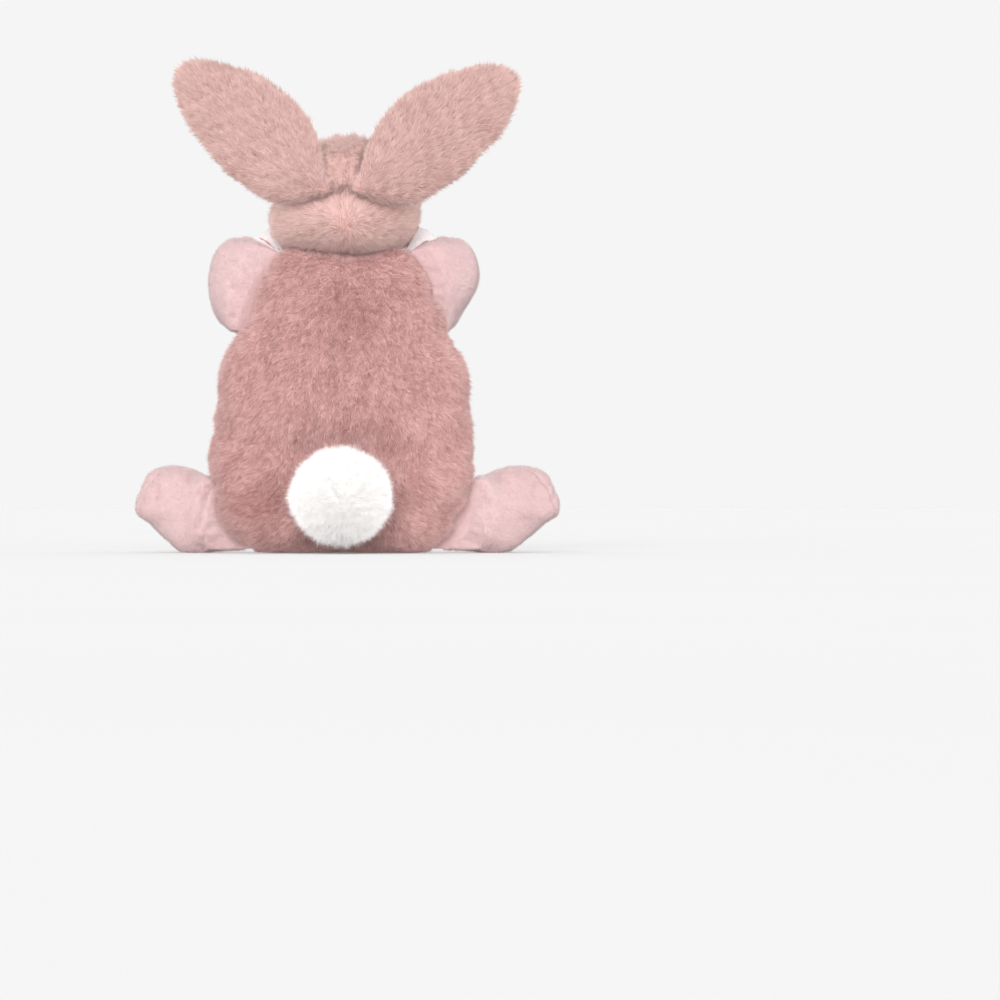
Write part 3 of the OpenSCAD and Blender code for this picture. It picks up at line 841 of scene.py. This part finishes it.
def cloth_uv(p):
    """Arc lengths over a panel, in metres, for each point of its outer and its inner face."""
    du = np.linalg.norm(np.diff(p, axis=1), axis=-1)
    dv = np.linalg.norm(np.diff(p, axis=0), axis=-1)
    u = np.concatenate([np.zeros((len(p), 1)), du.cumsum(1)], 1)
    u = u - u[:, -1:] / 2
    v = np.concatenate([np.zeros((1, p.shape[1])), dv.cumsum(0)], 0)
    uv = np.stack([u, v], -1).reshape(-1, 2) * MM + 0.5
    return np.concatenate([uv, uv])


def downward(root, normal):
    """The body's pile lies down, and sweeps outwards low on the hips."""
    x, y, z = xyz(root)
    low = 1 - ease(z, 18, 60)
    side = np.sign(x) * ease(abs(x), 10, 50)
    way = np.stack([0.18 * side + 0.9 * side * low, 0 * y, -1.0 + 0.5 * low], -1)
    return tangent(way, normal)


def body_trim(root, normal):
    """Shorter pile along the side seams, above all low and high on the body, and at the base."""
    _, y, z = xyz(root)
    sewn = 1 - ease(z, 34, 44) * (1 - ease(z, 100, 108))
    side = 1 - (0.18 + 0.2 * sewn) * bump(y, 4)
    base = 1 - 0.35 * (1 - ease(z, 2, 10))
    return side * base


def body_tone_and_painted_shade(root):
    """The body's pile tone, with painted shade high in the middle of the back, low on the left, in a
    ring round the tail and in the hip's crease, and painted highlights along the sides and low on the
    right.
    """
    x, _, z = xyz(root)
    # top: painted shade high in the middle of the back.
    top = 0.26 * np.exp(-((x + 6) / 17) ** 2 - ((z - 113) / 17) ** 2)
    # ring: painted shade in a ring round the tail's dent.
    ring = 0.02 * bump(np.hypot(x, z - TAIL_CENTRE[2]) - 30, 11) * ease(z, 12, 26)
    # Painted shade low on the left.
    painted_shade_low_left = 0.36 * np.exp(-((x - 40) / 18) ** 2 - ((z - 24) / 14) ** 2)
    hip = hip_crease_distance(root)
    # edge: painted highlight along the sides and low on the right.
    edge = 0.04 * ease(abs(x), 38, 62) + 0.12 * bump(x + 40, 22) * bump(z - 16, 18)
    # The hip term is painted shade in the hip's crease; 0.54 is the pile's own tone.
    return 0.54 - top - ring - painted_shade_low_left - 0.28 * bump(hip, 1.4) + edge


def build_body(mats):
    p = body_shape()
    p = raised_to(BODY_FLOOR, settle_coarse(p, body_pins(p), 0.03, 1.0, most=1.6))
    half = p.shape[1] // 2
    back, front = sides_between(p, 0, half), sides_between(p, half, 2 * half)
    n = grid_normals(p)
    skin = wall_object("body_back_plush", back, PLUSH_WALL)
    dress(skin, mats["backing"], "torso", "plush", "back_panel", "body_filling")
    cotton = wall_object("body_front_cotton", front, COTTON_WALL)
    add_uv(cotton, "Cloth", cloth_uv(front))
    dress(cotton, mats["cotton"], "torso", "printed_cotton", "front_panel")
    rim = p[0]
    seat_rings = [rim * [s, s, 1] + [0, 0, (1 - s) * 0.05] for s in (1, 0.97, 0.8, 0.5, 0.15)]
    inner = [r + [0, 0, 1.5] for r in reversed(seat_rings)]
    seat = closed_object("seat_plush", np.stack(seat_rings[::-1] + inner[::-1]))
    dress(seat, mats["backing"], "torso", "plush", "seat_panel")
    spans = {"upper": (BODY_PILE_SPLIT, BODY_RINGS - 1), "lower": (0, BODY_PILE_SPLIT)}
    for part, (first, last) in spans.items():
        for side, (a, b) in {"left": (0, half // 2), "right": (half // 2, half)}.items():
            q, m = sides_between(p, a, b)[first:last + 1], sides_between(n, a, b)[first:last + 1]
            fur = plush_pile(f"body_pile_{part}_{side}", q, m, downward, body_tone_and_painted_shade,
                             100 + first + a, shorter=body_trim, floor=PILE_FLOOR)
            dress(fur, mats["pile"], "torso", "plush")


def head_nap(root, normal):
    """The pile spreads from a whorl low on the seam, and lies down on the strip above."""
    from_whorl = unit((root - np.array([WHORL_X, 27, WHORL_Z + 1])) * [1.5, 0, 0.9]
                      + 3.0 * wave_vectors(root, 9, 331))
    _, y, z = xyz(root)
    strip = (ease(z, 172.6, 174.4) * ease(y, 2, 10))[:, None]
    face = ease(-y, 2, 12)[:, None]
    from_nose = unit(root - np.array([0, -34, 164]))
    way = from_whorl * (1 - strip) + np.array([0, 0.9, -1.2]) * strip
    return tangent(way * (1 - face) + from_nose * face, normal)


def head_trim(root, normal):
    """Shorter pile on the strip between the ears."""
    x, y, z = xyz(root)
    return 1 - 0.35 * ease(z, 175, 180) * ease(y, 4, 12) * (1 - ease(abs(x), 9, 12))


def head_tone_and_painted_shade(root):
    """The head's pile tone: painted shade in the creases between and below the ears, in the tuck and
    fold below the strip, at the whorl and along the seam; painted light higher on the crown; darker low
    on the right.
    """
    x, y, z = xyz(root)
    back = ease(y, 2, 10)
    # dark: painted shade in the creases between the ears, the tuck and fold below the strip, at the
    # whorl and along the seam.
    dark = 0.60 * bump(x - LEFT_CREASE_X - 0.2, 1.2) * ease(z, 175, 180) * (1 - ease(z, 191, 196))
    dark = dark + 0.56 * bump(x - RIGHT_CREASE_X, 1.2) * ease(z, 179, 183) * (1 - ease(z, 191, 196))
    dark = dark + 0.55 * bump(np.hypot((x + 1.6) / 1.3, (z - 175.5) / 3.0), 1.0)
    dark = dark + 0.25 * bump(z - 173.4, 1.1) * bump(x, 10)
    dark = dark + 0.06 * bump(np.hypot(x - WHORL_X, z - WHORL_Z), 2.6)
    dark = dark + 0.06 * bump(x - HEAD_SEAM_X, 1.4)
    # crown: painted light, lighter higher up; it is also darker low on the right.
    crown = 0.06 * ease(z, 176, 190) - 0.24 * bump(x + 22, 13) * (1 - ease(z, 160, 170)) * back
    return 0.84 - dark * back + crown


def stitch_places():
    """Boxes of the stitched features in millimetres, as (centre, half size)."""
    places = {}
    for name in ("left_eye", "right_eye", "nose", "mouth"):
        low, high = (np.array(v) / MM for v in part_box(name))
        places[name] = ((low + high) / 2, (high - low) / 2)
    return places


def bare_face(root):
    """No pile where the features are stitched, and sparser pile close to them."""
    x, y, z = xyz(root)
    keep = np.ones(x.shape)
    for centre, half in stitch_places().values():
        d = np.hypot((x - centre[0]) / (half[0] + 0.9), (z - centre[2]) / (half[2] + 0.9))
        keep = keep * np.where(y < 0, ease(d, 0.9, 1.25), 1)
    return keep


def face_trim(root, normal):
    """Shorter pile on the muzzle and round the eyes, so that the stitches show."""
    x, y, z = xyz(root)
    near = np.zeros(len(root))
    for centre, _ in stitch_places().values():
        near = np.maximum(near, bump(np.hypot(x - centre[0], z - centre[2]), 8))
    return 1 - 0.5 * near * ease(-y, 10, 20)


def build_head(mats):
    p = head_shape()
    n = grid_normals(p)
    sides = p.shape[1]
    quarter, half = sides // 4, sides // 2
    panels = {
        "head_back_left": (0, quarter, ("head_back_left",)),
        "head_back_right": (quarter, half, ("head_back_right",)),
        "face": (half, sides, ("face_panel", "head_filling")),
    }
    for name, (a, b, nodes) in panels.items():
        q, m = sides_between(p, a, b), sides_between(n, a, b)
        skin = wall_object(name + "_plush", q, PLUSH_WALL)
        dress(skin, mats["head_backing_painted_light"], "head", "plush", *nodes)
        is_face = name == "face"
        fur = plush_pile(name + "_pile", q, m, head_nap, head_tone_and_painted_shade, 300 + a,
                         length=3.6 if is_face else 4.7,
                         weight=bare_face if is_face else None, messy=0.65,
                         shorter=face_trim if is_face else head_trim)
        dress(fur, mats["head_pile_painted_light"], "head", "plush")
        if is_face:
            face = skin
    return face


def build_neck(mats):
    """A short stuffed neck in two halves, a lower and an upper one."""
    a = np.linspace(0, 2 * math.pi, 48, endpoint=False)
    ring = np.stack([np.cos(a), np.sin(a), np.zeros(48)], -1)
    spans = {"neck_lower": (138.5, 145.2, "torso", "neck"),
             "neck_upper": (144.8, 152.5, "neck", "head")}
    for name, (low, high, below, above) in spans.items():
        heights = np.linspace(low, high, 12)
        rings = np.stack([ring * [10.0, 7.6, 1] * (1 + 0.03 * waves(ring * 10 + h, 8, 5)[:, None])
                          + [0, -1, h] for h in heights])
        skin = closed_object(name + "_plush", rings)
        start_m, end_m = (0, -0.001, low * MM), (0, -0.001, high * MM)
        nodes = ("neck_filling",) if name == "neck_lower" else ()
        cross_joint(skin, mats["backing"], (below, above), start_m, end_m, "plush", *nodes)


def ear_nap(mirror):
    """The ear's pile fans out from its sewn end."""
    source = EAR_ROOT + np.array([-6.0, 0, -6.0])

    def nap(root, normal):
        return tangent(root - source * [mirror, 1, 1], normal)
    return nap


def ear_tone(root):
    return np.full(len(root), 0.5)


def ear_trim(root, normal):
    """Shorter pile round the edge."""
    return 1 - 0.5 * (1 - ease(abs(normal[:, 1]), 0.2, 0.9))


def build_ear(side, mats):
    left = ear_shape(side)
    mirror = 1 if side == "left" else -1
    p = left if side == "left" else mirrored(left)
    sides = p.shape[1]
    half = sides // 2
    n = grid_normals(p)
    if side == "right":  # the mirrored grid starts one step on
        p, n = np.roll(p, 1, 1), np.roll(n, 1, 1)
        a, b = half, sides
    else:
        a, b = 0, half
    hinge_m = HINGES_M[side + "_ear_flop"]
    start_m = hinge_m + np.array([-0.002 * mirror, 0, -0.002])
    end_m = hinge_m + np.array([0.014 * mirror, 0, 0.011])
    bodies = ("head", side + "_ear")
    root = 12  # the lining stops short of the sewn end, where the plush is folded under
    parts = {"back": (a, b, 0, len(p)), "lining": (b, a + sides, root - 1, len(p)),
             "fold": (b, a + sides, 0, root)}
    for part, (i0, i1, k0, k1) in parts.items():
        q = sides_between(p, i0, i1)[k0:k1]
        way = panel_sign(q, sides_between(n, i0, i1)[k0:k1])
        skin = wall_object(f"{side}_ear_{part}_skin", q, EAR_WALL, way)
        if part == "lining":
            add_uv(skin, "Cloth", cloth_uv(q))
        mat = mats["cotton"] if part == "lining" else mats["head_backing_painted_light"]
        slot = "printed_cotton" if part == "lining" else "plush"
        nodes = {"back": (f"{side}_ear_back", f"{side}_ear_filling"),
                 "lining": (f"{side}_ear_lining",), "fold": ()}[part]
        cross_joint(skin, mat, bodies, start_m, end_m, slot, *nodes)
    over = 3  # the pile wraps a little way round the edge
    q, m = sides_between(p, a - over, b + over), sides_between(n, a - over, b + over)
    fur = plush_pile(f"{side}_ear_pile_painted_light", q, m, ear_nap(mirror), ear_tone, 500 + (mirror > 0),
                     length=4.9, per_mm2=7.5, shorter=ear_trim, messy=0.75)
    cross_joint(fur, mats["ear_pile_painted_light"], bodies, start_m, end_m, "plush")


def panel_sign(q, n):
    cross = np.cross(np.gradient(q, axis=1), np.gradient(q, axis=0))
    return 1 if (cross * n).sum() > 0 else -1


def velour_pile(name, p, mats, joint_ends_m, seed):
    """The loose fibres of the velour, which soften its outline."""
    q, n = closed_sides(p), closed_sides(grid_normals(p))
    rng = np.random.default_rng(seed)
    root, normal = scatter(q[3:], n[3:], 4.0, rng)
    way = tangent(np.array([0, -0.6, -0.5]) + 0.7 * wave_vectors(root, 6, seed + 1)
                  + 0.5 * rng.normal(size=root.shape), normal)
    tone = 0.5 + 0.22 * waves(root, 2.4, seed + 4) + 0.12 * waves(root, 14, seed + 5) \
        + 0.14 * rng.normal(size=len(root))
    fur = strand_mesh(name + "_nap", root, normal, way, 1.25, 0.15, 38, tone, rng, soft=0.1,
                      floor=LIMB_FLOOR)
    cross_joint(fur, mats["velour_nap"], ("torso", name), *joint_ends_m, "velour")


def build_limb(name, p, mat, joint, reach_m, nodes):
    """An arm or a leg in velour; returns the ends, in metres, of the first stretch of its length from
    the hinge at its seam.
    """
    skin = closed_object(name + "_velour", p)
    skin.modifiers.new("round", "SUBSURF").levels = 1
    apply_modifiers(skin)
    start_m = HINGES_M[joint]
    end_m = start_m + reach_m
    cross_joint(skin, mat, ("torso", name), start_m, end_m, "velour", *nodes)
    return start_m, end_m


def apply_modifiers(obj):
    depsgraph = bpy.context.evaluated_depsgraph_get()
    mesh = bpy.data.meshes.new_from_object(obj.evaluated_get(depsgraph))
    obj.modifiers.clear()
    obj.data = mesh


def build_limbs(mats):
    for side, mirror in (("left", 1), ("right", -1)):
        arm, leg = arm_shape(side), leg_shape(side)
        arm = settle(arm, limb_pins(arm, 6), 0.03, 1.2, most=1.0)
        leg = raised_to(LIMB_FLOOR, settle(leg, limb_pins(leg, 6), 0.035, 1.2, most=1.3))
        if side == "right":
            arm, leg = mirrored(arm), mirrored(leg)
        for name, p, joint, reach_m, seed, nodes in (
            ("arm", arm, "swing", (0.006, -0.012, 0.002), 800,
             ("arm_outer", "arm_inner", "arm_filling")),
            ("leg", leg, "splay", (0.009, -0.011, 0), 850,
             ("leg_outer", "leg_inner", "foot_sole", "leg_filling")),
        ):
            ends_m = build_limb(f"{side}_{name}", p, mats["velour"], f"{side}_{name}_{joint}",
                                np.array(reach_m) * [mirror, 1, 1], [f"{side}_{n}" for n in nodes])
            velour_pile(f"{side}_{name}", p, mats, ends_m, seed + mirror)


def build_tail(mats):
    """White fur on a soft ball, in small tufts that end unevenly."""
    rng = np.random.default_rng(70)
    z = rng.uniform(-1, 1, POMPOM_HAIRS)
    a = rng.uniform(0, 2 * math.pi, POMPOM_HAIRS)
    r = np.sqrt(1 - z * z)
    normal = np.stack([r * np.cos(a), r * np.sin(a), z], -1)
    normal = normal[normal[:, 1] > -0.93]
    count, place = len(normal), normal * 20
    droop = tangent(np.array([0, 0, -0.25]) + 1.0 * wave_vectors(place, 4.5, 71)
                    + 0.45 * rng.normal(size=normal.shape), normal)
    uneven = 0.15 * waves(place, 4, 75) + 0.06 * waves(place, 11, 77)
    long = POMPOM_HAIR_LENGTH * (1 + uneven + 0.12 * rng.normal(size=count))
    tone = 0.6 + 0.25 * waves(place, 3.5, 76) + 0.15 * rng.normal(size=count)
    lean = 24 + 13 * waves(place, 3.5, 78)[:, None] + 12 * rng.normal(size=(count, 1))
    root = TAIL_CENTRE + normal * POMPOM_CORE * POMPOM_SQUASH
    fur = strand_mesh("pompom_pile", root, normal, droop, long, 0.26, lean, tone, rng, soft=0.12,
                      glow=POMPOM_GLOW)
    dress(fur, mats["white_pile"], "tail", "white_fur", "pompom_fur")
    k = np.linspace(-math.pi / 2 * 0.98, math.pi / 2 * 0.98, 40)
    s = np.linspace(0, 2 * math.pi, 64, endpoint=False)
    ball = np.stack([np.outer(np.cos(k), np.cos(s)), np.outer(np.cos(k), np.sin(s)),
                     np.outer(np.sin(k), np.ones(64))], -1)
    radius = POMPOM_CORE - 0.3 + 0.3 * waves(ball * 15, 8, 79)[..., None]
    core = closed_object("pompom_ball", TAIL_CENTRE + ball * POMPOM_SQUASH * radius)
    co = np.array([v.co for v in core.data.vertices]) / MM - TAIL_CENTRE
    core.data.normals_split_custom_set_from_vertices(unit(unit(co) + POMPOM_GLOW))
    dress(core, mats["white_ground"], "tail", "white_fur", "pompom_core")
    set_material(frame["nodes"]["tail_tie"], mats["cord"])


def face_hit(tree, x, z):
    hit = tree.ray_cast(Vector((x * MM, -0.2, z * MM)), Vector((0, 1, 0)))
    return np.array(hit[0]) / MM, np.array(hit[1])


def thread_tubes(name, lines, radius, mat, slot, node):
    """Satin stitches: one short bowed thread for each line of points."""
    verts, faces = [], []
    for points in lines:
        points = np.asarray(points)
        along_line = np.gradient(points, axis=0)
        side = unit(np.cross(along_line, [0, 1, 0.01]))
        other = unit(np.cross(along_line, side))
        base = len(verts)
        m = len(points)
        for j in range(m):
            end = 0.25 if j in (0, m - 1) else 1.0
            for q in range(8):
                a = 2 * math.pi * q / 8
                verts.append(points[j] + (side[j] * math.cos(a) + other[j] * math.sin(a)) * radius * end)
        faces += quad_faces(m, 8, True, base)
        faces += [tuple(range(base, base + 8)), tuple(range(base + (m - 1) * 8, base + m * 8))]
    obj = outward(new_object(name, np.array(verts), faces))
    dress(obj, mat, "head", slot, node)


def satin(tree, centre, half_w, half_h, tilt, step, width_at, proud):
    """Threads across a shape whose half width at each height share is width_at(share)."""
    lines = []
    c, s = math.cos(tilt), math.sin(tilt)
    for v in np.arange(-1 + step / 2, 1, step):
        w = half_w * width_at(v)
        if w < 0.25:
            continue
        points = []
        for u in np.linspace(-1, 1, 7):
            x, z = u * w, v * half_h
            x, z = centre[0] + x * c - z * s, centre[2] + x * s + z * c
            p, n = face_hit(tree, x, z)
            points.append(p + n * proud * (1 - 0.75 * u ** 4))
        lines.append(points)
    return lines


def build_face(face, mats):
    depsgraph = bpy.context.evaluated_depsgraph_get()
    tree = BVHTree.FromObject(face, depsgraph)
    places = stitch_places()

    def oval(v):
        return math.sqrt(max(1 - v * v, 0))

    def nose_width(v):
        return 0.22 + 0.78 * ease(v, -1.0, 0.35) - 0.15 * ease(v, 0.7, 1.0)

    for side, tilt in (("left", -0.3), ("right", 0.3)):
        lines = satin(tree, places[side + "_eye"][0], 2.5, 3.3, tilt, 0.135, oval, 1.6)
        thread_tubes(side + "_eye_stitches", lines, 0.30, mats["eye"], "eye_thread", side + "_eye")
    lines = satin(tree, places["nose"][0], 4.1, 2.8, 0, 0.16, nose_width, 1.7)
    thread_tubes("nose_stitches", lines, 0.32, mats["nose"], "nose_thread", "nose")
    centre = places["mouth"][0]
    lines = []
    for side in (-1, 1):
        curve = []
        for a in np.linspace(0.05, 1.0, 13):
            angle = math.pi * (1 + a) if side < 0 else math.pi * (2 - a)
            x = centre[0] + side * 2.7 + 2.7 * math.cos(angle)
            z = centre[2] + 1.9 + 2.6 * math.sin(angle)
            p, n = face_hit(tree, x, z)
            curve.append(p + n * 1.3)
        lines += [curve[i:i + 4] for i in range(0, 12, 3)]
    p0, n0 = face_hit(tree, 0, places["nose"][0][2] - 2.6)
    p1, n1 = face_hit(tree, 0, centre[2] + 2.0)
    lines.append([p0 + n0 * 1.4, (p0 + p1) / 2 + n0 * 1.5, p1 + n1 * 1.3])
    thread_tubes("mouth_stitches", lines, 0.34, mats["nose"], "nose_thread", "mouth")


# ---- stage ----

FLOOR_SIZE_M = 30
FLOOR_GREYS = (0.658, 0.664)
STUDIO_GREY = 0.913
CAMERA_DISTANCE_M = 2.6
PICTURE_WIDTH_M = 0.48  # at the object
CAMERA_X_M, CAMERA_Z_M = -0.07488, 0.02544


def build_stage():
    bpy.ops.mesh.primitive_plane_add(size=FLOOR_SIZE_M, location=(0, 0, 0))
    floor = bpy.context.object
    floor.name = "floor"
    m = Nodes("floor")
    speck = m.noise(3, 2, m.place())
    tone = m.ramp(speck, [(0.3, (FLOOR_GREYS[0],) * 3), (0.7, (FLOOR_GREYS[1],) * 3)])
    floor.data.materials.append(m.finish(tone, 0.9, specular=0.0))
    world = bpy.data.worlds.new("studio")
    world.use_nodes = True
    world.node_tree.nodes["Background"].inputs[0].default_value = (*(STUDIO_GREY,) * 3, 1)
    world.node_tree.nodes["Background"].inputs[1].default_value = 1.0
    bpy.context.scene.world = world
    for name, energy, spread, way in (
        ("key", 1.55, 30, (0.16, 1.0, 0.25)),
        ("fill", 1.55, 40, (-0.1, 1.0, 0.2)),
        ("front", 1.5, 40, (0.2, -1.0, 0.25)),
        ("left", 1.0, 40, (1.0, 0.1, 0.2)),
        ("right", 1.1, 40, (-1.0, 0.1, 0.2)),
    ):
        light = bpy.data.lights.new(name, "SUN")
        light.energy = energy
        light.angle = math.radians(spread)
        light.use_shadow = name in ("key", "fill")
        lamp = linked(name, light)
        lamp.rotation_euler = Vector(way).to_track_quat("Z", "Y").to_euler()
    bpy.context.scene.view_settings.view_transform = "Standard"


def build_camera():
    """Straight behind and level. The object stands left of the picture's middle."""
    cam = bpy.data.cameras.new("camera")
    cam.sensor_width = 36
    cam.lens = cam.sensor_width * CAMERA_DISTANCE_M / PICTURE_WIDTH_M
    cam.clip_end = 60
    obj = linked("camera", cam)
    obj.location = (CAMERA_X_M, CAMERA_DISTANCE_M, CAMERA_Z_M)
    obj.rotation_euler = (math.pi / 2, 0, math.pi)
    bpy.context.scene.camera = obj


def main():
    build_stage()
    build_camera()
    mats = {
        # The fourth colour of each pile material is the painted shade at its hairs' roots.
        "pile": pile_material("plush_pile", PLUSH_DEEP, PLUSH_PALE, PAINTED_ROOT_SHADOW),
        # Paler, greyer copies of the body's plush for the head and the ears: painted light.
        "head_pile_painted_light": pile_material("head_pile_painted_light", HEAD_DEEP_PAINTED_LIGHT, HEAD_PALE_PAINTED_LIGHT, PAINTED_ROOT_SHADOW),
        "ear_pile_painted_light": pile_material("ear_pile_painted_light", EAR_DEEP_PAINTED_LIGHT, EAR_PALE_PAINTED_LIGHT, PAINTED_ROOT_SHADOW),
        "white_pile": pile_material("white_pile", (0.90, 0.885, 0.87), (0.975, 0.965, 0.955),
                                    (1.0, 0.995, 0.985), sheen=0.1),
        "backing": backing_material("plush_ground", (0.60, 0.355, 0.335), (0.50, 0.275, 0.26)),
        "head_backing_painted_light": backing_material("head_ground_painted_light", (0.64, 0.43, 0.40), (0.56, 0.36, 0.33)),
        "white_ground": backing_material("white_ground", (1.0, 0.99, 0.975), (0.96, 0.95, 0.93)),
        "velour": velour_material(),
        "velour_nap": pile_material("velour_nap", VELOUR_DEEP, VELOUR_PALE, (0.90, 0.86, 0.86),
                                    sheen=0.3),
        "cotton": print_material(),
        "eye": thread_material("eye_thread", (0.11, 0.07, 0.06), (0.03, 0.02, 0.02)),
        "nose": thread_material("nose_thread", (0.52, 0.13, 0.19), (0.33, 0.06, 0.10)),
        "cord": cord_material(),
    }
    build_body(mats)
    face = build_head(mats)
    build_neck(mats)
    for side in ("left", "right"):
        build_ear(side, mats)
    build_limbs(mats)
    build_tail(mats)
    build_face(face, mats)


main()
